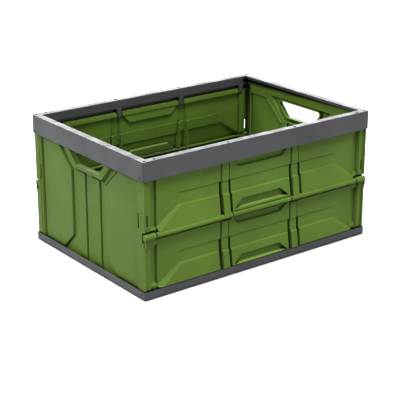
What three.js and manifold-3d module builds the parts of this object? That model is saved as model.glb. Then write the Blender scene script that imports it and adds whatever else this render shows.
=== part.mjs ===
// Folding storage crate: a base tray and a top frame joined by two long walls that fold at mid
// height, with two end walls that hang from the top frame and swing inward.
// Millimetres, +Z up, X along the crate, origin at the centre of the underside.
import * as THREE from "three";
import { mergeGeometries, mergeVertices } from "three/addons/utils/BufferGeometryUtils.js";
import Module from "manifold-3d";

const wasm = await Module();
wasm.setup();

// Overall sizes
const LENGTH = 500;
const WIDTH = 350;
const HEIGHT = 240;
const BASE_HEIGHT = 14.5;
const FRAME_HEIGHT = 33.7;
const SKIN = 2.4;
const GAP = 0.4;

// Long walls. "Out" is the distance from the crate's middle plane, and the front wall is at -Y.
const FIELD_OUT = 167.5;
const APRON_OUT = 171.5;
const STRIP_OUT = 170;
const RIDGE_OUT = 172.5;
const POST_X = [233, 247.5];
const GROOVE_X = 219.5;
const GROOVE_FLOOR_OUT = 164;
const GROOVE_SIDE_OUT = 160;
const CORNER_FLANGE_OUT = 158.6;
const RIB_X = [70, 85.5];
const BAY_X = { middle: 65.5, end: 90.5 };
const RIB_RISE = 1.6;
const APRON_Z = [116.2, 152];
const APRON_SLOPE = { x: 177, z: 125 };
const LOWER_SKIN_Z = [15.3, 102];
const FLANGE_SPLIT_Z = [111.6, 112.2];
const FLANGE_TAB_OUT = 165.8;
const GRIP_POCKET = { bottomX: 61, bottomZ: 119, topX: 43, topZ: 134.5, floorOut: 166.5 };
const SHADE_POCKET = { bottomX: 48.5, bottomZ: 191.5, topX: 60, topZ: 203, floorOut: 165.6 };
const SLOT_X = [238.6, 242.4];
const SLOT_Z = [127, 147];

// Hinge axes
const MID_AXIS = { out: 172, z: 110 };
const TOP_AXIS = { out: 163, z: 212 };
const BOTTOM_AXIS = { out: 163, z: 8 };
const MID_BARREL_R = 5;
const END_KNUCKLE_R = 5.8;
const EDGE_BARREL_R = 4.5;
const BARREL_GAP = 1.2;
const HALF_SHIFT = MID_AXIS.z - BOTTOM_AXIS.z + 1;
const ROD_R = 1.5;
const BORE_R = 1.8;
const LUG_X = [67, 77];
const OUTER_LUG_X = [217, 227];
const MID_KNUCKLE_X = { middle: 66, end: 225, tip: 247.3 };
const EDGE_ROD_HALF = 231;
const TOP_RAIL_OUT = [158.9, 167];
const TOP_RAIL_Z = [207.6, 216.4];
const MID_ROD_HALF = 246.5;

// Top frame: an inverted channel
const FRAME_SKIN = 2.1;
const FRAME_TOP_WIDTH = 14;
const LIP_HEIGHT = { side: 16, end: 6.5 };
const PEG_HOLE_R = 1.6;

// End walls. "Out" is the distance from the crate's middle along X.
const END_AXIS = { out: 243, z: 228.3 };
const END_TOP_Z = 232.3;
const END_HALF_WIDTH = 158;
const END_BOTTOM_Z = 5.5;
const END_FIELD_OUT = 241;
const LEAF_OUT = 243.5;
const BORDER_OUT = 247;
const BORDER_Y = 149;
const LEAF_Y = 53;
const COLLAR_OUT = [236.6, 246.2];
const COLLAR_WALL = 3;
const HANDLE = { bottomY: 36, bottomZ: 181.5, topY: 64, topZ: 211 };
const CENTRE_RIB_Y = [11, 35];
const CENTRE_RIB_RISE = 1.2;
const LEAF_CORNERS = { topZ: 205, topY: 96, kneeTopZ: 166, kneeBottomZ: 44, bottomY: 88 };
const FOOT_Z = 9.5;
const END_BARREL_R = 4;
const LATCH_SLIT_Y = [154.6, 155.6];
const END_LUG_Y = [159, 163];
const END_LUG_DROP = 5;
const END_ROD_HALF = 162.6;

// Base tray
const FLOOR_THICKNESS = 3;
const BASE_SKIN = 1.8;
const GRID_STEP = 60;
const GRID_RIB = { width: 2, height: 1.2 };

const FRAME_BOTTOM = HEIGHT - FRAME_HEIGHT;
const EPS = 0.05;

// Solids ------------------------------------------------------------------------------------

function toSolid(geometry) {
  const plain = geometry.index ? geometry.toNonIndexed() : geometry.clone();
  plain.deleteAttribute("normal");
  plain.deleteAttribute("uv");
  const merged = mergeVertices(plain, 1e-4);
  const mesh = new wasm.Mesh({
    numProp: 3,
    vertProperties: merged.attributes.position.array,
    triVerts: new Uint32Array(merged.index.array),
  });
  return new wasm.Manifold(mesh);
}

function toGeometry(solid) {
  const mesh = solid.getMesh();
  const indexed = new THREE.BufferGeometry();
  indexed.setAttribute("position", new THREE.BufferAttribute(mesh.vertProperties, 3));
  indexed.setIndex(new THREE.BufferAttribute(mesh.triVerts, 1));
  const flat = indexed.toNonIndexed();
  flat.computeVertexNormals();
  return flat;
}

const join = (solids) => solids.reduce((whole, solid) => whole.add(solid));
const cut = (solid, tools) => tools.reduce((whole, tool) => whole.subtract(tool), solid);

function box([x0, x1], [y0, y1], [z0, z1]) {
  const geometry = new THREE.BoxGeometry(x1 - x0, y1 - y0, z1 - z0);
  geometry.translate((x0 + x1) / 2, (y0 + y1) / 2, (z0 + z1) / 2);
  return toSolid(geometry);
}

// A round bar along X or Y. Its ends are at from and to.
function bar(along, [from, to], [across, z], radius, sides = 20) {
  const geometry = new THREE.CylinderGeometry(radius, radius, to - from, sides);
  const middle = (from + to) / 2;
  if (along === "x") {
    geometry.rotateZ(Math.PI / 2);
    geometry.translate(middle, across, z);
  } else {
    geometry.translate(across, middle, z);
  }
  return toSolid(geometry);
}

// An outline in (u, z) pushed from one depth to another. "front" maps u to X and depth to -Y,
// "left" maps u to Y and depth to -X.
function plate(face, outline, [innerOut, outerOut]) {
  const shape = new THREE.Shape(outline.map(([u, z]) => new THREE.Vector2(u, z)));
  const geometry = new THREE.ExtrudeGeometry(shape, {
    depth: outerOut - innerOut,
    bevelEnabled: false,
  });
  geometry.rotateX(Math.PI / 2);
  geometry.translate(0, -innerOut, 0);
  if (face === "left") geometry.rotateZ(-Math.PI / 2);
  return toSolid(geometry);
}

const mirrored = (outline) => outline.map(([u, z]) => [-u, z]).reverse();
const rectangle = ([u0, u1], [z0, z1]) => [[u0, z0], [u1, z0], [u1, z1], [u0, z1]];

// A convex outline, listed anticlockwise, moved inwards by a distance (outwards if negative).
function inset(outline, distance) {
  const count = outline.length;
  const edges = outline.map(([u, z], i) => {
    const [nextU, nextZ] = outline[(i + 1) % count];
    const length = Math.hypot(nextU - u, nextZ - z);
    const normal = [-(nextZ - z) / length, (nextU - u) / length];
    return { normal, offset: normal[0] * u + normal[1] * z + distance };
  });
  return edges.map((edge, i) => {
    const before = edges[(i + count - 1) % count];
    const det = before.normal[0] * edge.normal[1] - before.normal[1] * edge.normal[0];
    const u = (before.offset * edge.normal[1] - edge.offset * before.normal[1]) / det;
    const z = (before.normal[0] * edge.offset - edge.normal[0] * before.offset) / det;
    return [u, z];
  });
}

// A thin-walled raised area: the solid cap, and the hollow behind it.
function emboss(face, outline, fieldOut, raisedOut) {
  return {
    cap: plate(face, outline, [fieldOut - SKIN, raisedOut]),
    hollow: plate(face, inset(outline, SKIN), [fieldOut - SKIN - 1, raisedOut - SKIN]),
  };
}

const trapezoid = ({ bottomX, bottomZ, topX, topZ }) => [
  [-bottomX, bottomZ], [bottomX, bottomZ], [topX, topZ], [-topX, topZ],
];

// Long walls --------------------------------------------------------------------------------

const shifted = (outline, dz) => outline.map(([u, z]) => [u, z + dz]);

function endBayApron() {
  return [
    [BAY_X.end, APRON_Z[0]],
    [GROOVE_X, APRON_Z[0]],
    [GROOVE_X, APRON_SLOPE.z],
    [APRON_SLOPE.x, APRON_Z[1]],
    [BAY_X.end, APRON_Z[1]],
  ];
}

// The relief that both halves of a long wall share, moved by dz.
function reliefOf(dz, [lowZ, highZ]) {
  const field = rectangle([-GROOVE_X, GROOVE_X], [lowZ, highZ]);
  const skin = plate("front", field, [FIELD_OUT - SKIN, FIELD_OUT]);
  const apron = shifted(endBayApron(), dz);
  const middle = shifted(rectangle([-BAY_X.middle, BAY_X.middle], APRON_Z), dz);
  const raised = [apron, mirrored(apron), middle].map((outline) => [outline, APRON_OUT]);
  const [apronLow, apronHigh] = APRON_Z.map((z) => z + dz);
  for (const side of [RIB_X, [-RIB_X[1], -RIB_X[0]]]) {
    raised.push([rectangle(side, [apronLow, apronHigh]), APRON_OUT + RIB_RISE / 2]);
    raised.push([rectangle(side, [apronHigh - EPS, highZ]), FIELD_OUT + RIB_RISE]);
  }
  const embossed = raised.map(([outline, out]) => emboss("front", outline, FIELD_OUT, out));
  const shell = cut(join([skin, ...embossed.map((e) => e.cap)]), embossed.map((e) => e.hollow));
  const pocketed = pocket(pocket(shell, GRIP_POCKET, APRON_OUT, dz), SHADE_POCKET, FIELD_OUT, dz);
  return pocketed.intersect(box([-LENGTH, LENGTH], [-WIDTH, WIDTH], [lowZ, highZ]));
}

// A pocket pressed into the wall, with a floor and sides of its own.
function pocket(wall, size, faceOut, dz) {
  const outline = shifted(trapezoid(size), dz);
  const backing = plate("front", inset(outline, -SKIN), [size.floorOut - SKIN, faceOut - SKIN / 2]);
  const hollow = plate("front", outline, [size.floorOut, faceOut + 4]);
  return wall.add(backing).subtract(hollow);
}

// The corner post at positive X: a groove beside the bays, the face strip, and the corner flange, whose
// ridge stands proud of the strip. The flange has a tab that closes the corner beside the mid knuckle.
function cornerPost([lowZ, highZ], tab) {
  const [inner, outer] = POST_X;
  return join([
    box([GROOVE_X - SKIN, inner + SKIN], [-GROOVE_FLOOR_OUT, -GROOVE_FLOOR_OUT + SKIN], [lowZ, highZ]),
    box([GROOVE_X - SKIN, GROOVE_X], [-APRON_OUT, -GROOVE_SIDE_OUT], [lowZ, highZ]),
    box([inner, inner + SKIN], [-STRIP_OUT, -GROOVE_SIDE_OUT], [lowZ, highZ]),
    box([inner, outer], [-STRIP_OUT, -STRIP_OUT + SKIN], [lowZ, highZ]),
    box([outer - SKIN, outer], [-RIDGE_OUT, -CORNER_FLANGE_OUT], [lowZ, highZ]),
    box([outer - SKIN, outer], [-FLANGE_TAB_OUT, -CORNER_FLANGE_OUT], tab),
  ]);
}

const bothSides = ([from, to]) => [[from, to], [-to, -from]];

function longWallHalf({ dz, skinZ, tabZ, midSpans, midWebZ, edgeAxis, edgeWebZ, rail, slots }) {
  const post = cornerPost(skinZ, tabZ);
  const otherPost = post.mirror([1, 0, 0]);
  const edgeSpans = [
    [-LUG_X[0] + BARREL_GAP / 2, LUG_X[0] - BARREL_GAP / 2],
    ...bothSides([LUG_X[1] + BARREL_GAP / 2, OUTER_LUG_X[0] - BARREL_GAP / 2]),
  ];
  const edgeBarrels = edgeSpans.flatMap((span) => {
    const round = bar("x", span, [-edgeAxis.out, edgeAxis.z], EDGE_BARREL_R);
    const web = box(span, [-FIELD_OUT, -edgeAxis.out], edgeWebZ);
    return rail ? [round, web, box(span, rail.y, rail.z)] : [round, web];
  });
  const midBarrels = midSpans.map((span) => {
    const radius = Math.abs(span[0] + span[1]) / 2 > MID_KNUCKLE_X.end ? END_KNUCKLE_R : MID_BARREL_R;
    const web = box(span, [-APRON_OUT, -FIELD_OUT + SKIN], midWebZ);
    return bar("x", span, [-MID_AXIS.out, MID_AXIS.z], radius).add(web);
  });
  const lugRooms = [LUG_X, OUTER_LUG_X].flatMap(bothSides).map(([from, to]) =>
    box(
      [from - BARREL_GAP / 2, to + BARREL_GAP / 2],
      [-FIELD_OUT - GAP * 2, -CORNER_FLANGE_OUT + 1],
      [edgeAxis.z - EDGE_BARREL_R - GAP * 2, edgeAxis.z + EDGE_BARREL_R + GAP * 2],
    ),
  );
  const slotCuts = slots
    ? bothSides(SLOT_X).map((side) => box(side, [-STRIP_OUT - 1, -GROOVE_FLOOR_OUT - 1], SLOT_Z))
    : [];
  const bores = [
    bar("x", [-LENGTH, LENGTH], [-edgeAxis.out, edgeAxis.z], BORE_R, 16),
    bar("x", [-LENGTH, LENGTH], [-MID_AXIS.out, MID_AXIS.z], BORE_R, 16),
  ];
  const body = join([reliefOf(dz, skinZ), post, otherPost]);
  const trimmed = cut(body, [...lugRooms, ...slotCuts]);
  return cut(join([trimmed, ...edgeBarrels, ...midBarrels]), bores);
}

function upperWall() {
  const { middle, end } = MID_KNUCKLE_X;
  return longWallHalf({
    dz: 0,
    skinZ: [APRON_Z[0], TOP_AXIS.z],
    tabZ: [FLANGE_SPLIT_Z[1], APRON_Z[0] + 1],
    midSpans: bothSides([middle + BARREL_GAP / 2, end - BARREL_GAP / 2]),
    midWebZ: [MID_AXIS.z, APRON_Z[0] + 1],
    edgeAxis: TOP_AXIS,
    edgeWebZ: [TOP_AXIS.z - 2, TOP_AXIS.z],
    rail: { y: [-TOP_RAIL_OUT[1], -TOP_RAIL_OUT[0]], z: TOP_RAIL_Z },
    slots: true,
  });
}

function lowerWall() {
  const { middle, end, tip } = MID_KNUCKLE_X;
  const [lowZ, highZ] = LOWER_SKIN_Z;
  return longWallHalf({
    dz: -HALF_SHIFT,
    skinZ: LOWER_SKIN_Z,
    tabZ: [highZ - 1, FLANGE_SPLIT_Z[0]],
    midSpans: [
      [-middle + BARREL_GAP / 2, middle - BARREL_GAP / 2],
      ...bothSides([end + BARREL_GAP / 2, tip]),
    ],
    midWebZ: [highZ - 1, MID_AXIS.z],
    edgeAxis: BOTTOM_AXIS,
    edgeWebZ: [BOTTOM_AXIS.z, lowZ + 1],
    slots: false,
  });
}

// End walls ---------------------------------------------------------------------------------

function leafOutline() {
  const { topZ, topY, kneeTopZ, kneeBottomZ, bottomY } = LEAF_CORNERS;
  return [
    [BORDER_Y, FOOT_Z],
    [BORDER_Y, topZ],
    [topY, topZ],
    [LEAF_Y, kneeTopZ],
    [LEAF_Y, kneeBottomZ],
    [bottomY, FOOT_Z],
  ];
}

function endWall() {
  const whole = [END_BOTTOM_Z, END_TOP_Z];
  const below = [END_BOTTOM_Z, END_AXIS.z - END_BARREL_R];
  const field = rectangle([-END_HALF_WIDTH, END_HALF_WIDTH], whole);
  const skin = plate("left", field, [END_FIELD_OUT - SKIN, END_FIELD_OUT]);
  const leaf = leafOutline();
  const ribZ = [FOOT_Z, HANDLE.bottomZ - 2 * COLLAR_WALL];
  const raised = [
    [leaf, LEAF_OUT],
    [mirrored(leaf), LEAF_OUT],
    ...bothSides(CENTRE_RIB_Y).map((side) => [rectangle(side, ribZ), END_FIELD_OUT + CENTRE_RIB_RISE]),
    ...bothSides([BORDER_Y, END_HALF_WIDTH]).map((side) => [rectangle(side, below), BORDER_OUT]),
  ];
  const embossed = raised.map(([outline, out]) => emboss("left", outline, END_FIELD_OUT, out));
  const hole = [
    [-HANDLE.bottomY, HANDLE.bottomZ],
    [HANDLE.bottomY, HANDLE.bottomZ],
    [HANDLE.topY, HANDLE.topZ],
    [-HANDLE.topY, HANDLE.topZ],
  ];
  const collar = plate("left", inset(hole, -COLLAR_WALL), COLLAR_OUT);
  const opening = plate("left", hole, [COLLAR_OUT[0] - 5, BORDER_OUT + 5]);
  const barrel = bar("y", [-END_HALF_WIDTH, END_HALF_WIDTH], [-END_AXIS.out, END_AXIS.z], END_BARREL_R);
  const bore = bar("y", [-WIDTH, WIDTH], [-END_AXIS.out, END_AXIS.z], BORE_R, 16);
  const latchSlits = bothSides(LATCH_SLIT_Y).map(([from, to]) =>
    box([-BORDER_OUT - 1, -BORDER_OUT + SKIN + 1], [from, to], SLOT_Z),
  );
  const shell = cut(join([skin, ...embossed.map((e) => e.cap)]), embossed.map((e) => e.hollow));
  const topRoom = box([-LENGTH, -END_AXIS.out - END_BARREL_R - GAP], [-WIDTH, WIDTH], [FRAME_BOTTOM, HEIGHT]);
  return cut(join([shell, collar, barrel]), [opening, bore, topRoom, ...latchSlits]);
}

// Frame, base and rods ----------------------------------------------------------------------

const ring = (outer, inner, span) =>
  box([-outer[0], outer[0]], [-outer[1], outer[1]], span).subtract(
    box([-inner[0], inner[0]], [-inner[1], inner[1]], [span[0] - 1, span[1] + 1]),
  );

// Lugs that carry the long-wall rods on both sides of the crate. They reach in past the rod by inner.
function lugs(axis, inner, [lowZ, highZ]) {
  return [LUG_X, OUTER_LUG_X].flatMap(bothSides).flatMap((span) =>
    [-1, 1].map((side) => {
      const near = side * (axis.out - inner);
      const far = side * (axis.out + EDGE_BARREL_R);
      return box(span, [Math.min(near, far), Math.max(near, far)], [lowZ, highZ]);
    }),
  );
}

const rodBores = (axis) =>
  [-1, 1].map((side) => bar("x", [-LENGTH / 2 + 5, LENGTH / 2 - 5], [side * axis.out, axis.z], BORE_R, 16));

function topFrame() {
  const halfX = LENGTH / 2;
  const halfY = WIDTH / 2;
  const top = [HEIGHT - FRAME_SKIN, HEIGHT];
  const width = FRAME_TOP_WIDTH;
  const skin = ring([halfX, halfY], [halfX - FRAME_SKIN, halfY - FRAME_SKIN], [FRAME_BOTTOM, HEIGHT]);
  const lid = ring([halfX, halfY], [halfX - width, halfY - width], top);
  const lipOuter = [halfX - width + FRAME_SKIN, halfY - width + FRAME_SKIN];
  const lip = ring(lipOuter, [halfX - width, halfY - width], [HEIGHT - LIP_HEIGHT.end, HEIGHT]);
  const sideLips = bothSides([halfY - width, lipOuter[1]]).map((spanY) =>
    box([-halfX + width, halfX - width], spanY, [HEIGHT - LIP_HEIGHT.side, HEIGHT]),
  );
  const hangers = [
    ...lugs(TOP_AXIS, EDGE_BARREL_R, [TOP_AXIS.z - EDGE_BARREL_R, HEIGHT - LIP_HEIGHT.side]),
    ...lugs(TOP_AXIS, TOP_AXIS.out - lipOuter[1] + FRAME_SKIN / 2, [TOP_AXIS.z, HEIGHT - 1]),
  ];
  const endLugs = [-1, 1].flatMap((sideX) =>
    bothSides(END_LUG_Y).map((spanY) => {
      const spanX = sideX < 0 ? [-halfX + 1, -halfX + width - 1] : [halfX - width + 1, halfX - 1];
      return box(spanX, spanY, [END_AXIS.z - END_LUG_DROP, HEIGHT - 1]);
    }),
  );
  const endBores = [-1, 1].map((side) =>
    bar("y", [-WIDTH / 2 + 8, WIDTH / 2 - 8], [side * END_AXIS.out, END_AXIS.z], BORE_R, 16),
  );
  const pegHoles = [RIB_X[0] + 4, 224, 244].flatMap((x) => [-x, x]).flatMap((x) =>
    [-1, 1].map((side) => {
      const peg = new THREE.CylinderGeometry(PEG_HOLE_R, PEG_HOLE_R, FRAME_SKIN * 3, 10);
      peg.rotateX(Math.PI / 2);
      peg.translate(x, side * (halfY - 5.5), HEIGHT);
      return toSolid(peg);
    }),
  );
  const body = join([skin, lid, lip, ...sideLips, ...hangers, ...endLugs]);
  return cut(body, [...rodBores(TOP_AXIS), ...endBores, ...pegHoles]);
}

function baseTray() {
  const halfX = LENGTH / 2;
  const halfY = WIDTH / 2;
  const floor = box([-halfX, halfX], [-halfY, halfY], [0, FLOOR_THICKNESS]);
  const wall = ring([halfX, halfY], [halfX - BASE_SKIN, halfY - BASE_SKIN], [0, BASE_HEIGHT]);
  const blocks = lugs(BOTTOM_AXIS, EDGE_BARREL_R, [1, BOTTOM_AXIS.z + EDGE_BARREL_R]);
  const grid = [];
  const half = GRID_RIB.width / 2;
  const ribZ = [FLOOR_THICKNESS - EPS, FLOOR_THICKNESS + GRID_RIB.height];
  for (let x = -3 * GRID_STEP; x <= 3 * GRID_STEP; x += GRID_STEP) {
    grid.push(box([x - half, x + half], [-150, 150], ribZ));
  }
  for (let y = -2 * GRID_STEP; y <= 2 * GRID_STEP; y += GRID_STEP) {
    grid.push(box([-225, 225], [y - half, y + half], ribZ));
  }
  return cut(join([floor, wall, ...blocks, ...grid]), rodBores(BOTTOM_AXIS));
}

const hingeRod = (axis, half) => bar("x", [-half, half], [-axis.out, axis.z], ROD_R, 16);
const endRod = () => bar("y", [-END_ROD_HALF, END_ROD_HALF], [-END_AXIS.out, END_AXIS.z], ROD_R, 16);

// Assembly ----------------------------------------------------------------------------------

const greenPlastic = new THREE.MeshStandardMaterial({ color: 0x66813a, roughness: 0.55, metalness: 0 });
const greyPlastic = new THREE.MeshStandardMaterial({ color: 0x504f53, roughness: 0.5, metalness: 0 });
const rodSteel = new THREE.MeshStandardMaterial({ color: 0x9a9ca0, roughness: 0.35, metalness: 1 });

const crate = new THREE.Group();

function place(name, solid, material, turned = false) {
  const mesh = new THREE.Mesh(toGeometry(solid), material.clone());
  mesh.name = name;
  if (turned) mesh.rotation.z = Math.PI;
  crate.add(mesh);
}

place("base_tray", baseTray(), greyPlastic);
place("top_frame", topFrame(), greyPlastic);

const sides = [["front", false], ["rear", true]];
for (const [side, turned] of sides) {
  place(`${side}_lower_wall`, lowerWall(), greenPlastic, turned);
  place(`${side}_upper_wall`, upperWall(), greenPlastic, turned);
  place(`${side}_bottom_hinge_rod`, hingeRod(BOTTOM_AXIS, EDGE_ROD_HALF), rodSteel, turned);
  place(`${side}_middle_hinge_rod`, hingeRod(MID_AXIS, MID_ROD_HALF), rodSteel, turned);
  place(`${side}_top_hinge_rod`, hingeRod(TOP_AXIS, EDGE_ROD_HALF), rodSteel, turned);
}

const ends = [["left", false], ["right", true]];
for (const [side, turned] of ends) {
  place(`${side}_end_wall`, endWall(), greenPlastic, turned);
  place(`${side}_end_hinge_rod`, endRod(), rodSteel, turned);
}

export default crate;
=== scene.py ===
"""Folding storage crate: detailed walls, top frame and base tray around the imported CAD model."""

import math

import bmesh
import bpy
from mathutils import Matrix, Vector
from mathutils.geometry import delaunay_2d_cdt


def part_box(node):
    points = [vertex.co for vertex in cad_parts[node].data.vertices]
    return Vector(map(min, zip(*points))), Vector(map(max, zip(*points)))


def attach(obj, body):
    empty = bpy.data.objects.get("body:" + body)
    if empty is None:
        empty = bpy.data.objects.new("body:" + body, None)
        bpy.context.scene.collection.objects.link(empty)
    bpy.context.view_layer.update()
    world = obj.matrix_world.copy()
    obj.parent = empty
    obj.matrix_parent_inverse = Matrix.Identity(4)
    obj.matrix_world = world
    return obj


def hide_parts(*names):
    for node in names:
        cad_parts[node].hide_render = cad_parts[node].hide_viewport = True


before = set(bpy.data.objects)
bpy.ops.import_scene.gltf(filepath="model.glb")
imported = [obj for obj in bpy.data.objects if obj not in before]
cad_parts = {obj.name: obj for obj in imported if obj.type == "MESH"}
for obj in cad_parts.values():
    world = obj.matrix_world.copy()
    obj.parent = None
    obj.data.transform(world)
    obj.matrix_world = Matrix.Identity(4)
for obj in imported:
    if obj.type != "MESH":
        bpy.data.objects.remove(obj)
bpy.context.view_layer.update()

MM = 0.001


def extent(node):
    """A CAD node's lowest and highest corners, in millimetres."""
    low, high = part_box(node)
    return [c / MM for c in low], [c / MM for c in high]


# Overall sizes, in millimetres, from the frame ----------------------------------------------
_, BASE_HIGH = extent("base_tray")
TOP_LOW, TOP_HIGH = extent("top_frame")
_, WALL_HIGH = extent("front_upper_wall")
END_LOW, END_HIGH = extent("left_end_wall")
MID_ROD_LOW, MID_ROD_HIGH = extent("front_middle_hinge_rod")
TOP_ROD_LOW, TOP_ROD_HIGH = extent("front_top_hinge_rod")
BOTTOM_ROD_LOW, BOTTOM_ROD_HIGH = extent("front_bottom_hinge_rod")
END_ROD_LOW, END_ROD_HIGH = extent("left_end_hinge_rod")

HALF_X, HALF_Y = TOP_HIGH[0], TOP_HIGH[1]
HEIGHT = TOP_HIGH[2]
FRAME_BOTTOM = TOP_LOW[2]
BASE_TOP = BASE_HIGH[2]


def axis_of(low, high):
    """(distance out from the middle plane, height) of a front wall's hinge rod."""
    return -(low[1] + high[1]) / 2, (low[2] + high[2]) / 2


MID_OUT, MID_Z = axis_of(MID_ROD_LOW, MID_ROD_HIGH)
TOP_OUT, TOP_Z = axis_of(TOP_ROD_LOW, TOP_ROD_HIGH)
BOTTOM_OUT, BOTTOM_Z = axis_of(BOTTOM_ROD_LOW, BOTTOM_ROD_HIGH)
END_AXIS_OUT = -(END_ROD_LOW[0] + END_ROD_HIGH[0]) / 2
END_AXIS_Z = (END_ROD_LOW[2] + END_ROD_HIGH[2]) / 2

# Long walls: u runs along a wall from its middle, v is the height, and out is the distance from the
# crate's middle. FIELD is the outer face of the bays, and rises and depths are measured from it.
WALL_HALF = WALL_HIGH[0]
SKIN = 2.3
FIELD = 167.5
HALF_SHIFT = MID_Z - BOTTOM_Z + 1
SKIN_START = 6.2
LOWER_SKIN = (BASE_TOP + 1.2, MID_Z - 9.6)
BAY_END = (90.5, 219.5)
BAY_MIDDLE = 65.5
APRON_RISE = 1.9
APRON_LEAN = 0.072
APRON_TOP = 42
APRON_CORNER = 12
SLOPE_START = 177
CREASE_TOP = 62.5
CREASE_DEPTH = 1.1
FACET_TOP = 82
FACET_DEPTH = 1.0
RIB = (70, 85.5)
RIB_RISE, RIB_SLOPE = 1.7, 0.9
DEEP_GROOVE, DEEP_SLOPE = 4.6, 0.6
FINE_GROOVE, FINE_SLOPE = 1.4, 0.5
GRIP_CORNERS = [(61, 9), (43, 25)]
GRIP_DEPTH, GRIP_SLOPE = 7.0, 1.8
SHADE_CORNERS = [(48.5, 81.5), (60, 93)]
SHADE_DEPTH, SHADE_SLOPE = 4.6, 1.4
POST_START = 233
POST_RISE, POST_SLOPE = 2.5, 0.8
RIDGE_WIDTH = 3.6
RIDGE_RISE = 2.5
POST_GROOVE = 4.5
POST_GROOVE_SLOPES = [9, 0.9, 6, 0.9]
SLOT = ((238.6, 242.4), (127, 147))

# Hinges of the long walls
KNUCKLE = (66, 225)
KNUCKLE_TIP = 247.3
KNUCKLE_GAP = 0.6
END_KNUCKLE_R = 5.8
BARREL_R = 5
EDGE_BARREL_R = 4.5
BORE_R = 1.8
LUGS = ((67, 77), (217, 227))
LUG_MARGIN = 0.8
LUG_ROUND = 0.4
RAIL_HALF = 4.4
RAIL_DEPTH = 4.2
RAIL_ROUND = 1.3

# Edges of the long walls' panels
FLANGE_IN = 158.6
FLANGE_OUT = FIELD + POST_RISE + RIDGE_RISE - SKIN / 2
TAB_OUT = FIELD - 1.3
RETURN_DEPTH = 4.2
RETURN_HEIGHT = 2
BACKING = (FIELD - SKIN - 2, FIELD - SKIN)

# End walls: u runs along the wall, as above
END_HALF = END_HIGH[1]
END_FIELD = 241
END_BOTTOM = END_LOW[2]
PAST_BOTTOM = -20
LEAF_U = (53, 149)
LEAF_TOP = 208.5
LEAF_CUTS = ((88, 44), (98.5, 166))
LEAF_RISE, LEAF_SLOPE = 3.2, 1.6
MOAT_WIDTH, MOAT_DEPTH, MOAT_SLOPE = 1.7, 1.2, 0.6
BORDER_U = (148.5, 190)
BORDER_RISE = 6
END_RIB_U = (11, 35.3)
END_RIB_TOP = 171
END_RIB_RISE, END_RIB_SLOPE = 1.8, 1.2
END_BARREL_R = 4
HOLE = ((36, 181.5), (64, 211))
HOLE_ROUND = 5
HOLE_FRAME = 10.5
HOLE_FRAME_RISE, HOLE_FRAME_SLOPE = 5.0, 3.0
TUBE_WALL, TUBE_TOP_WALL = 2.4, 3.4
TUBE_ROUND = 7
TUBE_RISE, TUBE_DEPTH = 4.9, 9.0
LATCH_Z = (126, 146)
SLIT_U = 153.6
SLIT_WIDTH = 3.2
SLIT_END = END_HALF - 0.8

# Top frame
FRAME_SKIN = 2.1
FRAME_WIDTH = 14
SIDE_LIP_DEPTH = 16
END_LIP_DEPTH = 6.5
END_BRACKET_Y = (159, 163)
RIM_HOLE_X = (74, 224, 243.5)
RIM_HOLE_R = 2.3
RIM_HOLE_INSET = 5.4
PIP_R = 1.5
PIP_LENGTH = 2.4
PIP_INSET = 9.3
TOP_PIP_Z, BASE_PIP_Z = 211.5, 8.7

# Base tray
TRAY_SKIN = 1.8
TRAY_FLOOR = 3.0
TRAY_LAP = 1.2
TRAY_RIB_PITCH = 30
TRAY_RIB_HALF = 0.9
TRAY_RIBS_ACROSS, TRAY_RIBS_ALONG = 8, 5
ACROSS_RIB_RISE, ALONG_RIB_RISE = 1.0, 1.3

# Mesh work
FLAT_ANGLE = math.radians(0.5)
ROUNDED_ANGLE = math.radians(30)
SHARP_ANGLE = math.radians(32)
WELD = 0.02


# Relief surfaces ----------------------------------------------------------------------------
class Plateau:
    """A convex area that stands proud of a panel by `rise`. Its edge slopes up over `slope` mm, which is
    one width or one for each side of the outline, listed anticlockwise in (u, v). `lean` makes it stand
    further out for each mm below its top."""

    def __init__(self, outline, rise, slope=1.0, lean=0.0):
        self.outline = [Vector(p) for p in outline]
        self.rise = rise
        self.lean = lean
        self.top = max(v for _, v in outline)
        count = len(outline)
        self.slopes = list(slope) if isinstance(slope, (list, tuple)) else [slope] * count
        self.sides = []
        for i, start in enumerate(self.outline):
            along = (self.outline[(i + 1) % count] - start).normalized()
            self.sides.append((start, Vector((-along.y, along.x))))

    def height(self, point):
        inside = min((point - start).dot(normal) / slope
                     for (start, normal), slope in zip(self.sides, self.slopes))
        return self.rise * (1 + self.lean * (self.top - point.y)) * min(max(inside, 0.0), 1.0)

    def crest(self):
        """The corners where the slopes reach full height."""
        corners = []
        count = len(self.sides)
        for i in range(count):
            (a, na), wa = self.sides[i - 1], self.slopes[i - 1]
            (b, nb), wb = self.sides[i], self.slopes[i]
            ca, cb = na.dot(a) + wa, nb.dot(b) + wb
            det = na.x * nb.y - nb.x * na.y
            corners.append(Vector(((ca * nb.y - cb * na.y) / det, (na.x * cb - nb.x * ca) / det)))
        return corners


def within(point, polygon):
    """True where the point is inside the polygon, which may have notches."""
    inside = False
    for i, a in enumerate(polygon):
        b = polygon[i - 1]
        if (a[1] > point[1]) != (b[1] > point[1]):
            if point[0] < (b[0] - a[0]) * (point[1] - a[1]) / (b[1] - a[1]) + a[0]:
                inside = not inside
    return inside


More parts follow.
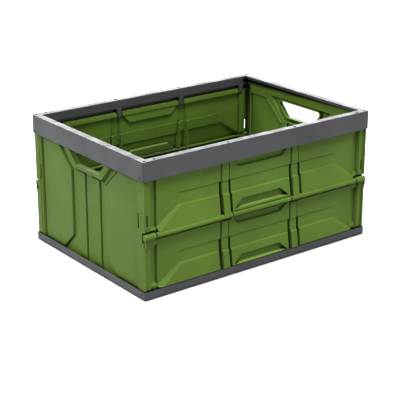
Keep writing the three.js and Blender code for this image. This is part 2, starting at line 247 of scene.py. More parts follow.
def relief_mesh(outline, level, groups, holes, thickness):
    """A thin pressed wall as a bmesh in (u, v, out) millimetres. Heights in one group don't add up: the
    largest counts. The groups' heights add to the level."""
    verts, edges = [], []

    def loop(points):
        first = len(verts)
        verts.extend(Vector(p) for p in points)
        edges.extend((first + i, first + (i + 1) % len(points)) for i in range(len(points)))
        return first

    loop(outline)
    for hole in holes:
        loop(hole)
    for plateau in (p for group in groups for p in group):
        foot = loop(plateau.outline)
        crest = loop(plateau.crest())
        edges.extend((foot + i, crest + i) for i in range(len(plateau.outline)))
    points, _, faces, *_ = delaunay_2d_cdt(verts, edges, [], 0, 1e-4)

    def height(point):
        return level + sum(max((p.height(point) for p in group), key=abs) for group in groups)

    bm = bmesh.new()
    outer = [bm.verts.new((p.x, p.y, height(p))) for p in points]
    inner = [bm.verts.new((v.co.x, v.co.y, v.co.z - thickness)) for v in outer]
    sides = {}
    for face in faces:
        centre = sum((points[i] for i in face), Vector((0, 0))) / len(face)
        if not within(centre, outline) or any(within(centre, hole) for hole in holes):
            continue
        bm.faces.new([outer[i] for i in face])
        bm.faces.new([inner[i] for i in reversed(face)])
        for a, b in zip(face, face[1:] + face[:1]):
            if not sides.pop((b, a), False):
                sides[a, b] = True
    for a, b in sides:
        bm.faces.new([outer[b], outer[a], inner[a], inner[b]])
    loose = [v for v in bm.verts if not v.link_faces]
    bmesh.ops.delete(bm, geom=loose, context="VERTS")
    bmesh.ops.dissolve_limit(bm, angle_limit=FLAT_ANGLE, verts=bm.verts, edges=bm.edges)
    return bm


def mirrored(outline):
    """The outline's mirror image across u = 0, still anticlockwise. It starts from the last corner."""
    return [(-u, v) for u, v in reversed(outline)]


def rectangle(us, vs):
    return [(us[0], vs[0]), (us[1], vs[0]), (us[1], vs[1]), (us[0], vs[1])]


def symmetric(right_side):
    """An outline that is its own mirror image, from the corners of its right side, listed upwards."""
    left_side = [(-u, v) for u, v in right_side]
    return left_side[:1] + right_side + left_side[:0:-1]


def both(outline, rise, slope):
    """A plateau and its mirror image across u = 0. A list of slopes isn't turned round for the mirror
    image, whose outline starts with its top edge."""
    return [Plateau(outline, rise, slope), Plateau(mirrored(outline), rise, slope)]


# Meshes -------------------------------------------------------------------------------------
FRONT = Matrix(((1, 0, 0), (0, 0, -1), (0, 1, 0))).to_4x4()
LEFT = Matrix(((0, 0, -1), (1, 0, 0), (0, 1, 0))).to_4x4()
HALF_TURN = Matrix.Rotation(math.pi, 4, "Z")


def new_object(name, bm):
    bmesh.ops.recalc_face_normals(bm, faces=bm.faces)
    mesh = bpy.data.meshes.new(name)
    bm.to_mesh(mesh)
    bm.free()
    obj = bpy.data.objects.new(name, mesh)
    bpy.context.scene.collection.objects.link(obj)
    return obj


def box_mesh(us, vs, outs, chamfer=0.0):
    """A box between the two ends of each of the three ranges."""
    bm = bmesh.new()
    bmesh.ops.create_cube(bm, size=1)
    ranges = (us, vs, outs)
    for vert in bm.verts:
        vert.co = Vector([low + (c + 0.5) * (high - low) for c, (low, high) in zip(vert.co, ranges)])
    if chamfer:
        bmesh.ops.bevel(bm, geom=bm.edges, offset=chamfer, segments=2, affect="EDGES")
    return bm


def turned_mesh(profile, centre, steps=32):
    """A closed profile of (along u, radius) turned about the line (v, out) = centre."""
    bm = bmesh.new()
    rings = []
    for step in range(steps):
        angle = 2 * math.pi * step / steps
        v, out = math.cos(angle), math.sin(angle)
        rings.append([bm.verts.new((u, centre[0] + v * r, centre[1] + out * r)) for u, r in profile])
    for step, ring in enumerate(rings):
        after = rings[(step + 1) % steps]
        for i in range(len(profile)):
            j = (i + 1) % len(profile)
            bm.faces.new([ring[i], ring[j], after[j], after[i]])
    return bm


def barrel_mesh(span, centre, radius, bore=BORE_R, round_off=0.7):
    """A hinge barrel over a span of u, with its bore open."""
    low, high = span
    profile = [
        (low, bore), (low, radius - round_off), (low + round_off, radius),
        (high - round_off, radius), (high, radius - round_off), (high, bore),
    ]
    return turned_mesh(profile, centre)


def cylinder_mesh(radius, length, place, along="Z", segments=24):
    """A closed cylinder along an axis, with its middle at the place."""
    bm = bmesh.new()
    bmesh.ops.create_cone(
        bm, cap_ends=True, segments=segments, radius1=radius, radius2=radius, depth=length,
    )
    if along != "Z":
        turn = Matrix.Rotation(math.pi / 2, 3, "Y" if along == "X" else "X")
        bmesh.ops.rotate(bm, verts=bm.verts, matrix=turn)
    bmesh.ops.translate(bm, verts=bm.verts, vec=place)
    return bm


def fused(name, meshes, cutters=()):
    """One mesh from several closed ones, with the cutters taken away."""
    body = new_object(name, meshes[0])
    for operation, tools in (("UNION", meshes[1:]), ("DIFFERENCE", cutters)):
        if not tools:
            continue
        group = bpy.data.collections.new("tools")
        bpy.context.scene.collection.children.link(group)
        parts = []
        for tool in tools:
            part = new_object("tool", tool)
            bpy.context.scene.collection.objects.unlink(part)
            group.objects.link(part)
            parts.append(part)
        modifier = body.modifiers.new("fuse", "BOOLEAN")
        modifier.operation = operation
        modifier.operand_type = "COLLECTION"
        modifier.collection = group
        modifier.solver = "EXACT"
        bake_modifiers(body)
        for part in parts:
            bpy.data.objects.remove(part)
        bpy.data.collections.remove(group)
    return body


def bake_modifiers(obj):
    """Makes the modifiers' result the object's own mesh."""
    graph = bpy.context.evaluated_depsgraph_get()
    mesh = bpy.data.meshes.new_from_object(obj.evaluated_get(graph))
    obj.modifiers.clear()
    old = obj.data
    obj.data = mesh
    bpy.data.meshes.remove(old)


def finished(obj, to_frame, round_off, material, body, node, turned=False, merged=True):
    """Puts a panel in its place, rounds its edges, and says what it stands for."""
    matrix = (HALF_TURN if turned else Matrix()) @ Matrix.Scale(MM, 4) @ to_frame
    obj.data.transform(matrix)
    bm = bmesh.new()
    bm.from_mesh(obj.data)
    bmesh.ops.remove_doubles(bm, verts=bm.verts, dist=WELD * MM)
    if merged:
        bmesh.ops.dissolve_limit(bm, angle_limit=FLAT_ANGLE, verts=bm.verts, edges=bm.edges)
    bmesh.ops.recalc_face_normals(bm, faces=bm.faces)
    bm.to_mesh(obj.data)
    bm.free()
    if round_off:
        bevel = obj.modifiers.new("rounded_edges", "BEVEL")
        bevel.width = round_off * MM
        bevel.segments = 2
        bevel.limit_method = "ANGLE"
        bevel.angle_limit = ROUNDED_ANGLE
        bevel.use_clamp_overlap = False
        bake_modifiers(obj)
    obj.data.shade_smooth()
    obj.data.set_sharp_from_angle(angle=SHARP_ANGLE)
    weighted = obj.modifiers.new("flat_faces", "WEIGHTED_NORMAL")
    weighted.weight = 100
    weighted.keep_sharp = True
    bake_modifiers(obj)
    obj.data.materials.clear()
    obj.data.materials.append(material)
    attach(obj, body)
    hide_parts(node)
    return obj


# Materials ----------------------------------------------------------------------------------
class Nodes:
    """Short-hand for building a node material."""

    def __init__(self, name):
        self.material = bpy.data.materials.new(name)
        self.material.use_nodes = True
        self.tree = self.material.node_tree
        self.shader = self.tree.nodes["Principled BSDF"]
        self.place = self.add("ShaderNodeTexCoord").outputs["Object"]
        soft = self.add("ShaderNodeBevel", samples=4)
        soft.inputs["Radius"].default_value = 0.5 * MM
        self.rounded_edges = soft.outputs["Normal"]

    def crevices(self, reach, inside=False):
        """How open a point is to what lies within `reach`: 1 on open ground, 0 deep in a crevice, or, looked
        at from inside, 1 on flat walls and less on outer edges."""
        node = self.add("ShaderNodeAmbientOcclusion", samples=8, inside=inside)
        node.inputs["Distance"].default_value = reach * MM
        return node.outputs["AO"]

    def add(self, kind, **values):
        node = self.tree.nodes.new(kind)
        for key, value in values.items():
            setattr(node, key, value)
        return node

    def link(self, source, target):
        self.tree.links.new(source, target)

    def noise(self, scale, detail=2.0, stretch=(1, 1, 1)):
        mapping = self.add("ShaderNodeMapping")
        mapping.inputs["Scale"].default_value = stretch
        self.link(self.place, mapping.inputs["Vector"])
        node = self.add("ShaderNodeTexNoise")
        node.inputs["Scale"].default_value = scale
        node.inputs["Detail"].default_value = detail
        self.link(mapping.outputs["Vector"], node.inputs["Vector"])
        return node.outputs["Fac"]

    def ramp(self, source, stops):
        node = self.add("ShaderNodeValToRGB")
        elements = node.color_ramp.elements
        for element, (position, colour) in zip(elements, stops):
            element.position = position
            element.color = colour
        self.link(source, node.inputs["Fac"])
        return node.outputs["Color"]

    def spread(self, source, low, high, between=(0.3, 0.7)):
        """The source's range `between`, mapped to low ... high."""
        node = self.add("ShaderNodeMapRange")
        node.inputs["From Min"].default_value, node.inputs["From Max"].default_value = between
        node.inputs["To Min"].default_value = low
        node.inputs["To Max"].default_value = high
        self.link(source, node.inputs["Value"])
        return node.outputs["Result"]

    def mix(self, factor, first, second):
        """Two colours mixed. Each input is a socket or a plain value."""
        node = self.add("ShaderNodeMix", data_type="RGBA")
        for source, name in ((factor, "Factor"), (first, "A"), (second, "B")):
            target = node.inputs[name]
            if hasattr(source, "links"):
                self.link(source, target)
            else:
                target.default_value = source
        return node.outputs["Result"]

    def bump(self, height, distance, strength, below=None):
        node = self.add("ShaderNodeBump")
        node.inputs["Distance"].default_value = distance
        node.inputs["Strength"].default_value = strength
        self.link(height, node.inputs["Height"])
        self.link(below or self.rounded_edges, node.inputs["Normal"])
        return node.outputs["Normal"]


def moulded_plastic(name, colour, roughness, grain, shine):
    """Polypropylene: cloudy colour, a fine spark-eroded grain, faint flow lines, scuffs, a painted highlight
    on outer edges and painted shade that darkens its crevices."""
    nodes = Nodes(name)

    def tint(share, added=0.0):
        return (*(min(c * share + added, 1) for c in colour), 1)

    cloud = nodes.ramp(nodes.noise(9, 3), [(0.35, tint(0.90)), (0.65, tint(1.08))])
    scuffs = nodes.spread(nodes.noise(60, 4, (1, 1, 4)), -1.1, 0.28)
    clamp = nodes.add("ShaderNodeClamp")
    nodes.link(scuffs, clamp.inputs["Value"])
    skin = nodes.mix(clamp.outputs["Result"], cloud, tint(1.25, 0.01))
    # Painted highlight: outer edges, found by occlusion traced from inside, are lightened in the colour.
    edges = nodes.spread(nodes.crevices(1.4, True), 0.8, 0, (0.4, 0.85))
    skin = nodes.mix(edges, skin, tint(1.5, 0.03))
    # Painted shade: crevices, grooves and the feet of steps, found by ambient occlusion, are darkened nearly
    # to black in the colour.
    corners = nodes.spread(nodes.crevices(8), 1, 0, (0.35, 0.9))
    skin = nodes.mix(corners, skin, tint(0.05))
    nodes.link(skin, nodes.shader.inputs["Base Color"])
    low, high = roughness
    nodes.link(nodes.spread(nodes.noise(35, 3), low, high), nodes.shader.inputs["Roughness"])
    waves = nodes.bump(nodes.noise(22, 1), 0.0006, 0.25)
    nodes.link(nodes.bump(nodes.noise(1400, 2), 0.00012, grain, waves), nodes.shader.inputs["Normal"])
    nodes.shader.inputs["IOR"].default_value = 1.49
    nodes.shader.inputs["Specular IOR Level"].default_value = shine
    return nodes.material


def drawn_steel(name):
    """Bare steel with streaks along X."""
    nodes = Nodes(name)
    dark, light = (0.42, 0.42, 0.43, 1), (0.62, 0.62, 0.63, 1)
    streaks = nodes.noise(300, 2, (0.05, 1, 1))
    nodes.link(nodes.ramp(streaks, [(0.3, dark), (0.7, light)]), nodes.shader.inputs["Base Color"])
    nodes.link(nodes.spread(streaks, 0.25, 0.45), nodes.shader.inputs["Roughness"])
    nodes.shader.inputs["Metallic"].default_value = 1.0
    return nodes.material


GREEN = moulded_plastic("green_plastic", (0.163, 0.262, 0.046), (0.42, 0.56), 0.35, 0.28)
GREY = moulded_plastic("grey_plastic", (0.100, 0.098, 0.108), (0.36, 0.50), 0.3, 0.5)
STEEL = drawn_steel("rod_steel")


# Long walls ---------------------------------------------------------------------------------
def shifted(outline, dv):
    return [(u, v + dv) for u, v in outline]


def wall_relief(start):
    """The relief that both halves share. Its heights count from `start`: the mid hinge's height for the
    upper half, and HALF_SHIFT lower for the lower half."""
    low, high = -5, 130
    first, last = BAY_END
    foot, side, corner, top = 4, 1, 7, 2.6

    def apron(outline, slopes):
        return Plateau(shifted(outline, start), APRON_RISE, slopes, APRON_LEAN)

    def sunk(outline, depth, slope):
        return Plateau(shifted(outline, start), -depth, slope)

    outer = [
        (first, low), (last, low), (last, APRON_CORNER), (SLOPE_START, APRON_TOP), (first, APRON_TOP),
    ]
    upright = [foot, side, top, side]
    aprons = [
        apron(outer, [foot, side, corner, top, side]),
        apron(mirrored(outer), [top, corner, side, foot, side]),
        apron(rectangle((-BAY_MIDDLE, BAY_MIDDLE), (low, APRON_TOP - 2)), upright),
    ]
    rib_in, rib_out = RIB
    for us in (RIB, (-rib_out, -rib_in)):
        aprons.append(apron(rectangle(us, (low, APRON_TOP - 1)), upright))
    crease_v = (APRON_TOP - 0.5, CREASE_TOP)
    crease = sunk(rectangle((-SLOPE_START, SLOPE_START), crease_v), CREASE_DEPTH, [20, 8, 0.7, 8])
    ribs = both(shifted(rectangle(RIB, (low, high)), start), RIB_RISE, RIB_SLOPE)
    grooves = []
    for us in ((rib_in - 4.4, rib_in - 0.2), (rib_out + 0.2, rib_out + 4.8)):
        groove = rectangle(us, (low, CREASE_TOP))
        grooves += both(shifted(groove, start), -DEEP_GROOVE, DEEP_SLOPE)
    for us in ((rib_in - 1.6, rib_in - 0.1), (rib_out + 0.1, rib_out + 1.6)):
        groove = rectangle(us, (CREASE_TOP - 1, high))
        grooves += both(shifted(groove, start), -FINE_GROOVE, FINE_SLOPE)
    facet = [(SLOPE_START, APRON_TOP), (last, APRON_CORNER), (last, FACET_TOP), (SLOPE_START, CREASE_TOP)]
    edge, ridge, fade = 0.8, 5, 40
    facets = [
        sunk(facet, FACET_DEPTH, [edge, edge, ridge, fade]),
        sunk(mirrored(facet), FACET_DEPTH, [ridge, edge, edge, fade]),
    ]
    grip = sunk(symmetric(GRIP_CORNERS), GRIP_DEPTH, GRIP_SLOPE)
    shade_top = (SHADE_CORNERS[-1][0], high)
    shade = sunk(symmetric(SHADE_CORNERS + [shade_top]), SHADE_DEPTH, SHADE_SLOPE)
    return [aprons, [crease], ribs, grooves, facets, [grip], [shade]]


def post_relief(groove_v):
    """The groove beside the outer bays, the strip at the wall's ends and the ridge along its corner."""
    past_panel = (-20, 300)
    end = WALL_HALF + 20
    lap = 0.2
    strips = both(rectangle((POST_START, end), past_panel), POST_RISE, POST_SLOPE)
    ridges = both(rectangle((WALL_HALF - RIDGE_WIDTH, end), past_panel), RIDGE_RISE, POST_SLOPE)
    groove = rectangle((BAY_END[1] - lap, POST_START + lap), groove_v)
    return [strips, ridges, both(groove, -POST_GROOVE, POST_GROOVE_SLOPES)]


def notched(segments, inner_v, outer_v, wall_v):
    """The panel's outline: its hinge edge steps out to outer_v over the knuckle spans in segments."""
    edge = [(-WALL_HALF, inner_v)]
    for low, high in segments:
        edge += [(low, inner_v), (low, outer_v), (high, outer_v), (high, inner_v)]
    edge.append((WALL_HALF, inner_v))
    edge = [p for i, p in enumerate(edge) if i == 0 or p != edge[i - 1]]
    return edge + [(WALL_HALF, wall_v), (-WALL_HALF, wall_v)]


def spans(low, high):
    """The two spans between low and high, on either side of the middle."""
    return [(-high, -low), (low, high)]


def edge_barrels(axis_out, axis_z, web_v, rail_v=None):
    """Barrel stretches between the lugs, on the inside of the wall, and the webs that carry them. The
    upper ones are square rails, rail_v high."""
    (a, b), (c, _) = LUGS
    parts = []
    for span in [(-a + KNUCKLE_GAP, a - KNUCKLE_GAP)] + spans(b + KNUCKLE_GAP, c - KNUCKLE_GAP):
        if rail_v:
            parts.append(box_mesh(span, rail_v, (axis_out - RAIL_DEPTH, FIELD - 0.5), RAIL_ROUND))
        else:
            parts.append(barrel_mesh(span, (axis_z, axis_out), EDGE_BARREL_R))
        parts.append(box_mesh(span, web_v, (axis_out + BORE_R + 0.4, FIELD - 0.4)))
    return parts


def flanges(vs, tab_v):
    """The corner flanges that close the ends of a long wall, beside the end walls, each with a tab beside
    the mid-height knuckle."""
    meshes = []
    for us in ((WALL_HALF - SKIN, WALL_HALF), (-WALL_HALF, -WALL_HALF + SKIN)):
        meshes.append(box_mesh(us, vs, (FLANGE_IN, FLANGE_OUT)))
        meshes.append(box_mesh(us, tab_v, (FLANGE_IN + 0.1, TAB_OUT)))
    return meshes


def edge_return(vs):
    """The turned-in lip that stiffens a panel's edge between the corner posts."""
    return box_mesh((-BAY_END[1], BAY_END[1]), vs, (FIELD - SKIN - RETURN_DEPTH, FIELD - SKIN / 2))


def wall_bore(axis_out, axis_z):
    """A cutter for a rod's bore right along a wall."""
    return cylinder_mesh(BORE_R, 2 * HALF_X, (0, axis_z, axis_out), "X")


def lug_rooms(axis_out, axis_z):
    """Cutters that make room in a wall for the lugs of the base or the top frame."""
    reach = EDGE_BARREL_R + LUG_MARGIN
    return [
        box_mesh((low - KNUCKLE_GAP, high + KNUCKLE_GAP), (axis_z - reach, axis_z + reach),
                 (axis_out - reach, FIELD + LUG_MARGIN))
        for a, b in LUGS for low, high in ((a, b), (-b, -a))
    ]


def upper_wall(name, turned):
    """The upper half of a long wall, from the mid hinge to the top frame."""
    owned = spans(KNUCKLE[0] + KNUCKLE_GAP, KNUCKLE[1] - KNUCKLE_GAP)
    low, high = MID_Z + SKIN_START, TOP_Z
    outline = notched(owned, low, MID_Z + 1, high)
    groups = wall_relief(MID_Z) + post_relief((low + 2, high + 40))
    (slot_a, slot_b), slot_v = SLOT
    holes = [rectangle((slot_a, slot_b), slot_v), rectangle((-slot_b, -slot_a), slot_v)]
    panel = relief_mesh(outline, FIELD, groups, holes, SKIN)
    tab_v = (MID_Z + 2.2, low + 3)
    parts = [barrel_mesh(span, (MID_Z, MID_OUT), BARREL_R) for span in owned]
    parts += edge_barrels(TOP_OUT, TOP_Z, (TOP_Z - 2, TOP_Z), (TOP_Z - RAIL_HALF, TOP_Z + RAIL_HALF))
    parts += flanges((low, high), tab_v)
    parts.append(edge_return((low, low + RETURN_HEIGHT)))
    parts += [box_mesh(us, tab_v, BACKING) for us in spans(BAY_END[1], WALL_HALF - 0.1)]
    cutters = [
        box_mesh(us, (low - 1, low + 2.2), (FIELD - 1, FIELD + 9))
        for us in spans(KNUCKLE[1] - 0.1, WALL_HALF + 1)
    ]
    cutters += lug_rooms(TOP_OUT, TOP_Z)
    cutters += [wall_bore(TOP_OUT, TOP_Z), wall_bore(MID_OUT, MID_Z)]
    obj = fused(name, [panel] + parts, cutters)
    return finished(obj, FRONT, 0, GREEN, "crate_body", name, turned)


def lower_wall(name, turned):
    """The lower half of a long wall, from the base tray to the mid hinge."""
    middle = (-KNUCKLE[0] + KNUCKLE_GAP, KNUCKLE[0] - KNUCKLE_GAP)
    tips = spans(KNUCKLE[1] + KNUCKLE_GAP, KNUCKLE_TIP)
    low, high = LOWER_SKIN
    outline = list(reversed(notched([tips[0], middle, tips[1]], high, MID_Z + 1.5, low)))
    groups = wall_relief(MID_Z - HALF_SHIFT) + post_relief((low + 4, high - 6))
    past_top = high + 30
    middle_collar = rectangle((-KNUCKLE[0], KNUCKLE[0]), (high - 3, past_top))
    end_collar = rectangle((POST_START + 1, WALL_HALF + 9), (high - 9, past_top))
    collars = [Plateau(middle_collar, 3.0, [4, 1, 1, 1])] + both(end_collar, 2.6, [8, 1, 1, 1])
    panel = relief_mesh(outline, FIELD, groups + [collars], [], SKIN)
    parts = [barrel_mesh(middle, (MID_Z, MID_OUT), BARREL_R)]
    parts += [barrel_mesh(tip, (MID_Z, MID_OUT), END_KNUCKLE_R, round_off=1.2) for tip in tips]
    parts += edge_barrels(BOTTOM_OUT, BOTTOM_Z, (BOTTOM_Z, low + 1))
    parts += flanges((low, high), (high - 1, MID_Z + 1.6))
    parts.append(edge_return((high - RETURN_HEIGHT, high)))
    parts.append(box_mesh((-BAY_END[1], BAY_END[1]), (high - RETURN_HEIGHT, MID_Z - 0.4), BACKING))
    cutters = lug_rooms(BOTTOM_OUT, BOTTOM_Z)
    cutters += [wall_bore(BOTTOM_OUT, BOTTOM_Z), wall_bore(MID_OUT, MID_Z)]
    obj = fused(name, [panel] + parts, cutters)
    return finished(obj, FRONT, 0, GREEN, "crate_body", name, turned)


# End walls ----------------------------------------------------------------------------------
def moated(outline, rise, slope):
    """A plateau and its mirror image, each with a fine groove along its foot."""
    plateaus = both(outline, rise, slope)
    for plateau in list(plateaus):
        ring = [tuple(corner) for corner in Plateau(plateau.outline, 0, -MOAT_WIDTH).crest()]
        plateaus.append(Plateau(ring, -MOAT_DEPTH, MOAT_SLOPE))
    return plateaus


def hole_outline(sill_out, top_out, below, above):
    """The hand hole's outline, widened at its sill and top and carried on below and above them."""
    (sill_u, sill_v), (top_u, top_v) = HOLE
    return symmetric([(sill_u + sill_out, sill_v - below), (top_u + top_out, top_v + above)])


def end_relief():
    """The relief of an end wall: two leaves, the border at its sides, two ribs and the hole's frame."""
    foot = END_BOTTOM + 4
    near, far = LEAF_U
    (low_u, low_v), (high_u, high_v) = LEAF_CUTS
    leaf = [
        (near, low_v), (low_u, foot), (far, foot), (far, LEAF_TOP), (high_u, LEAF_TOP), (near, high_v),
    ]
    leaves = moated(leaf, LEAF_RISE, LEAF_SLOPE)
    border = both(rectangle(BORDER_U, (PAST_BOTTOM, END_AXIS_Z - 4)), BORDER_RISE, 1)
    for side, slopes in zip(border, ([1, 1, 2, 4.5], [1, 4.5, 2, 1])):
        side.slopes = slopes
    ribs = moated(rectangle(END_RIB_U, (PAST_BOTTOM, END_RIB_TOP)), END_RIB_RISE, END_RIB_SLOPE)
    hole_frame = hole_outline(HOLE_FRAME, 2.1 * HOLE_FRAME, HOLE_FRAME, 4)
    return [leaves, border, ribs, [Plateau(hole_frame, HOLE_FRAME_RISE, HOLE_FRAME_SLOPE)]]


def rounded(outline, radius, steps=5):
    """The outline with its corners rounded."""
    points = []
    count = len(outline)
    for i in range(count):
        corner = Vector(outline[i])
        before = (Vector(outline[i - 1]) - corner).normalized()
        after = (Vector(outline[(i + 1) % count]) - corner).normalized()
        half = before.angle(after) / 2
        reach = radius / math.tan(half)
        centre = corner + (before + after).normalized() * radius / math.sin(half)
        first, last = corner + before * reach, corner + after * reach
        a, b = first - centre, last - centre
        for step in range(steps + 1):
            mixed = a.lerp(b, step / steps).normalized() * radius
            points.append(tuple(centre + mixed))
    return points


def latch_slits():
    """Cutters for the slits round the latches, in the shape of a bracket at each side of an end wall."""
    below, above = LATCH_Z
    slits = (
        ((SLIT_U, SLIT_U + SLIT_WIDTH), LATCH_Z),
        ((SLIT_U, SLIT_END), (above, above + SLIT_WIDTH)),
        ((SLIT_U, SLIT_END), (below - SLIT_WIDTH, below)),
    )
    return [
        box_mesh((side * near, side * far), vs[::side], (END_FIELD, END_FIELD + 20))
        for side in (1, -1) for (near, far), vs in slits
    ]


def end_wall(name, body, turned):
    """An end wall, with the tube of its hand hole and its hinge barrel."""
    hole = rounded(hole_outline(0, 0, 0, 0), HOLE_ROUND)
    outline = rectangle((-END_HALF, END_HALF), (END_BOTTOM, END_HIGH[2]))
    panel = relief_mesh(outline, END_FIELD, end_relief(), [hole], SKIN)
    tube_outline = rounded(hole_outline(TUBE_WALL, TUBE_TOP_WALL, TUBE_WALL, TUBE_WALL), TUBE_ROUND)
    tube = relief_mesh(tube_outline, END_FIELD + TUBE_RISE, [], [hole], TUBE_DEPTH)
    barrel = barrel_mesh((-END_HALF, END_HALF), (END_AXIS_Z, END_AXIS_OUT), END_BARREL_R)
    cutters = latch_slits() + [wall_bore(END_AXIS_OUT, END_AXIS_Z)]
    obj = fused(name, [panel, tube, barrel], cutters)
    return finished(obj, LEFT, 0, GREEN, body, name, turned)


# Top frame and base tray --------------------------------------------------------------------
def swept_ring(profile, corner_radius=3.0, steps=4):
    """A closed profile of (distance in from the outer face, height) swept round the crate's outline. What
    lies further in than the corner's radius goes round a corner of the least radius."""
    least = 0.3
    bm = bmesh.new()
    stations = []
    for sx, sy, start in ((1, 1, 0), (-1, 1, 90), (-1, -1, 180), (1, -1, 270)):
        centre = Vector((sx * (HALF_X - corner_radius), sy * (HALF_Y - corner_radius)))
        for step in range(steps + 1):
            angle = math.radians(start + 90 * step / steps)
            stations.append((centre, Vector((math.cos(angle), math.sin(angle))), Vector((sx, sy))))
    rings = []
    for centre, outward, diagonal in stations:
        ring = []
        for inward, z in profile:
            if inward <= corner_radius - 2 * least:
                place = centre + outward * (corner_radius - inward)
            else:
                corner = centre + diagonal * (corner_radius - inward)
                place = corner + outward * least
            ring.append(bm.verts.new((place.x, place.y, z)))
        rings.append(ring)
    for ring, after in zip(rings, rings[1:] + rings[:1]):
        for i in range(len(profile)):
            j = (i + 1) % len(profile)
            bm.faces.new([ring[i], after[i], after[j], ring[j]])
    return bm


def all_lugs(outs, vs):
    """Boxes at the lugs' places, on both sides of the crate."""
    meshes = []
    for low, high in LUGS:
        for span in ((low, high), (-high, -low)):
            for side in (1, -1):
                across = sorted(side * out for out in outs)
                meshes.append(box_mesh(span, across, vs, LUG_ROUND))
    return meshes


def side_bores(axis_out, axis_z):
    """Cutters for the rods' bores on both sides of the crate."""
    length = 2 * (TOP_ROD_HIGH[0] + 1)
    return [cylinder_mesh(BORE_R, length, (0, side * axis_out, axis_z), "X") for side in (1, -1)]


def end_bores():
    """Cutters for the bores of the end walls' rods."""
    length = 2 * (END_ROD_HIGH[1] + 1)
    return [cylinder_mesh(BORE_R, length, (side * END_AXIS_OUT, 0, END_AXIS_Z), "Y") for side in (1, -1)]


def corner_pips(z):
    """Cutters for shallow round sockets on the end faces, near the crate's corners."""
    return [
        cylinder_mesh(PIP_R, PIP_LENGTH, (sx * HALF_X, sy * (HALF_Y - PIP_INSET), z), "X", 16)
        for sx in (1, -1) for sy in (1, -1)
    ]


def rim_holes():
    """Cutters for the small holes in the rim's top skin."""
    low, high = HEIGHT - FRAME_SKIN - 1, HEIGHT + 2
    middle = (low + high) / 2
    y = HALF_Y - RIM_HOLE_INSET
    return [
        cylinder_mesh(RIM_HOLE_R, high - low, (sx * x, sy * y, middle), segments=16)
        for x in RIM_HOLE_X for sx in (1, -1) for sy in (1, -1)
    ]


def top_frame():
    """The rim, an open channel, with its inner side lips, the lugs and the brackets for the end walls."""
    bottom, top = FRAME_BOTTOM, HEIGHT
    lip = top - END_LIP_DEPTH
    inner = FRAME_WIDTH - FRAME_SKIN
    profile = [
        (0, bottom), (0, top), (FRAME_WIDTH, top), (FRAME_WIDTH, lip), (inner, lip),
        (inner, top - FRAME_SKIN), (FRAME_SKIN, top - FRAME_SKIN), (FRAME_SKIN, bottom),
    ]
    parts = [swept_ring(profile)]
    lip_out = HALF_Y - FRAME_WIDTH
    side_lip = top - SIDE_LIP_DEPTH
    lug_out = TOP_OUT + EDGE_BARREL_R
    parts += all_lugs((TOP_OUT - EDGE_BARREL_R, lug_out), (TOP_Z - EDGE_BARREL_R, side_lip))
    parts += all_lugs((lip_out + 1, lug_out - 0.1), (TOP_Z + 3, top - 1))
    side_lip_x = (-HALF_X + FRAME_WIDTH + 0.1, HALF_X - FRAME_WIDTH - 0.1)
    for sy in (1, -1):
        ys = sorted((sy * lip_out, sy * (lip_out + FRAME_SKIN)))
        parts.append(box_mesh(side_lip_x, ys, (side_lip, top - 0.8)))
    for sx in (1, -1):
        xs = sorted((sx * (HALF_X - 1), sx * (HALF_X - FRAME_WIDTH + 1)))
        for sy in (1, -1):
            ys = sorted(sy * y for y in END_BRACKET_Y)
            parts.append(box_mesh(xs, ys, (END_AXIS_Z - 5, top - 1)))
    holes = side_bores(TOP_OUT, TOP_Z) + end_bores() + corner_pips(TOP_PIP_Z) + rim_holes()
    obj = fused("top_frame", parts, holes)
    return finished(obj, Matrix(), 0.5, GREY, "crate_body", "top_frame")


def base_tray():
    """The tray: its floor with low crossing ribs, its edge, and the lugs of the lower walls. The ribs that
    cross have different heights, so that no two tops lie in one plane."""
    profile = [(0, 0.6), (0, BASE_TOP), (TRAY_SKIN, BASE_TOP), (TRAY_SKIN, 1.0)]
    floor = box_mesh((-HALF_X + 1, HALF_X - 1), (-HALF_Y + 1, HALF_Y - 1), (0, TRAY_FLOOR))
    parts = [swept_ring(profile)]
    lug_outs = (BOTTOM_OUT - EDGE_BARREL_R, BOTTOM_OUT + EDGE_BARREL_R)
    parts += all_lugs(lug_outs, (1, BOTTOM_Z + EDGE_BARREL_R))
    whole_x = (TRAY_LAP - HALF_X, HALF_X - TRAY_LAP)
    whole_y = (TRAY_LAP - HALF_Y, HALF_Y - TRAY_LAP)

    def rib_span(step):
        return (step * TRAY_RIB_PITCH - TRAY_RIB_HALF, step * TRAY_RIB_PITCH + TRAY_RIB_HALF)

    for step in range(-TRAY_RIBS_ACROSS, TRAY_RIBS_ACROSS + 1):
        parts.append(box_mesh(rib_span(step), whole_y, (1, TRAY_FLOOR + ACROSS_RIB_RISE)))
    for step in range(-TRAY_RIBS_ALONG, TRAY_RIBS_ALONG + 1):
        parts.append(box_mesh(whole_x, rib_span(step), (1, TRAY_FLOOR + ALONG_RIB_RISE)))
    obj = fused("base_tray", [floor] + parts, side_bores(BOTTOM_OUT, BOTTOM_Z) + corner_pips(BASE_PIP_Z))
    return finished(obj, Matrix(), 0.4, GREY, "crate_body", "base_tray", merged=False)


def dress_rods():
    """The hinge rods keep their CAD shape and get drawn steel."""
    for name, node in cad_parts.items():
        if name.endswith("_rod"):
            node.data.materials.clear()
            node.data.materials.append(STEEL)


# Studio -------------------------------------------------------------------------------------
def white_floor():
    """A white floor that shows the crate's shadow but throws no diffuse light back on the crate."""
    bpy.ops.mesh.primitive_plane_add(size=30, location=(0, 0, -0.0005))
    floor = bpy.context.object
    floor.name = "floor"
    white = bpy.data.materials.new("floor_white")
    white.use_nodes = True
    shader = white.node_tree.nodes["Principled BSDF"]
    shader.inputs["Base Color"].default_value = (0.93, 0.93, 0.93, 1)
    shader.inputs["Roughness"].default_value = 0.9
    floor.data.materials.append(white)
    floor.visible_diffuse = False


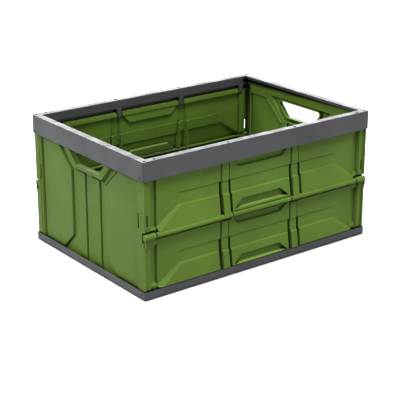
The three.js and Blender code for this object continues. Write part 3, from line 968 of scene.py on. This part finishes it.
def sky(scene):
    """A grey world: dark below the horizon, white at it and darker again towards the top."""
    greys = ((0.0, 0.12), (0.16, 1.0), (1.0, 0.35))
    world = bpy.data.worlds.new("studio")
    world.use_nodes = True
    nodes, links = world.node_tree.nodes, world.node_tree.links
    background = nodes["Background"]
    background.inputs["Strength"].default_value = 0.36
    place = nodes.new("ShaderNodeTexCoord")
    split = nodes.new("ShaderNodeSeparateXYZ")
    shades = nodes.new("ShaderNodeValToRGB")
    stops = shades.color_ramp.elements
    stops.new(0.62)
    for stop, (position, grey) in zip(stops, greys):
        stop.position, stop.color = position, (grey, grey, grey, 1)
    rise = nodes.new("ShaderNodeMapRange")
    rise.inputs["From Min"].default_value = -0.2
    links.new(place.outputs["Generated"], split.inputs["Vector"])
    links.new(split.outputs["Z"], rise.inputs["Value"])
    links.new(rise.outputs["Result"], shades.inputs["Fac"])
    links.new(shades.outputs["Color"], background.inputs["Color"])
    scene.world = world


def softbox(scene, name, place, target, size, power):
    """A rectangular light at the place, turned to the target."""
    light = bpy.data.lights.new(name, "AREA")
    light.shape = "RECTANGLE"
    light.size, light.size_y = size
    light.energy = power
    obj = bpy.data.objects.new(name, light)
    obj.location = place
    obj.rotation_euler = (Vector(target) - Vector(place)).to_track_quat("-Z", "Y").to_euler()
    scene.collection.objects.link(obj)


def studio():
    """The floor, the sky, a wide soft sun overhead and four softboxes."""
    scene = bpy.context.scene
    scene.view_settings.view_transform = "Standard"
    scene.view_settings.gamma = 0.82
    white_floor()
    sky(scene)

    overhead = bpy.data.lights.new("overhead", "SUN")
    overhead.energy = 1.5
    overhead.angle = math.radians(50)
    scene.collection.objects.link(bpy.data.objects.new("overhead", overhead))

    softbox(scene, "left", (-2.5, 0.9, 2.6), (0, 0, 0.1), (1.2, 1.2), 84)
    softbox(scene, "front", (-0.5, -1.3, 3.3), (0, 0, 0.1), (1.2, 1.2), 100)
    softbox(scene, "low", (-0.6, -3.2, 0.8), (0, 0, 0.1), (2.6, 0.7), 26)
    softbox(scene, "back", (1.9, 2.5, 1.05), (0, 0, 0.2), (3.4, 1.1), 80)


def camera():
    """Puts the camera at the crate's left front, a little above its rim."""
    azimuth, elevation, distance = math.radians(-37.36), math.radians(18.90), 2.1728
    target = Vector((0, 0, 0.1195))
    level = math.cos(elevation)
    away = Vector((math.sin(azimuth) * level, -math.cos(azimuth) * level, math.sin(elevation)))
    data = bpy.data.cameras.new("camera")
    data.sensor_width = 36
    data.lens = 106.27
    data.shift_x, data.shift_y = -0.0035, -0.0611
    obj = bpy.data.objects.new("camera", data)
    obj.location = target + away * distance
    obj.rotation_euler = (-away).to_track_quat("-Z", "Y").to_euler()
    bpy.context.scene.collection.objects.link(obj)
    bpy.context.scene.camera = obj


camera()
studio()
for side, turned in (("front", False), ("rear", True)):
    upper_wall(f"{side}_upper_wall", turned)
    lower_wall(f"{side}_lower_wall", turned)
for side, turned in (("left", False), ("right", True)):
    end_wall(f"{side}_end_wall", f"{side}_end", turned)
top_frame()
base_tray()
dress_rods()
